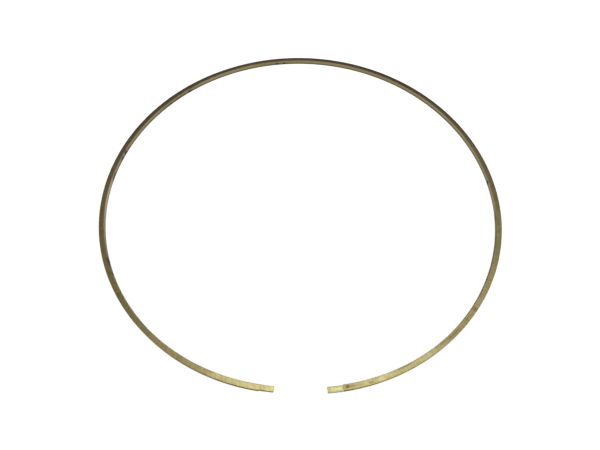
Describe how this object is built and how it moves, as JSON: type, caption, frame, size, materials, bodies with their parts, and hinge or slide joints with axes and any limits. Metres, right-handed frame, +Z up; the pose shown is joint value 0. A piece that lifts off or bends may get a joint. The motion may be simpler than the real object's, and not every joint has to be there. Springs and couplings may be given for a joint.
{
  "type": "seal ring",
  "caption": "Thin split seal ring of rectangular brass section, cut with a half-height lap joint, in its free, sprung-open shape.",
  "frame": {"origin": "on the lower side face's plane, in the middle of the ring's outline", "axes": "+Z up through the ring's axis, -Y towards the gap, +X to the right of the gap"},
  "size_m": [0.24, 0.2354, 0.0032],
  "materials": {
    "brass": "machined brass with a brown tarnish, brighter on the lap joint's tongues"
  },
  "bodies": {
    "root": {"seal_ring": "brass"}
  },
  "joints": []
}
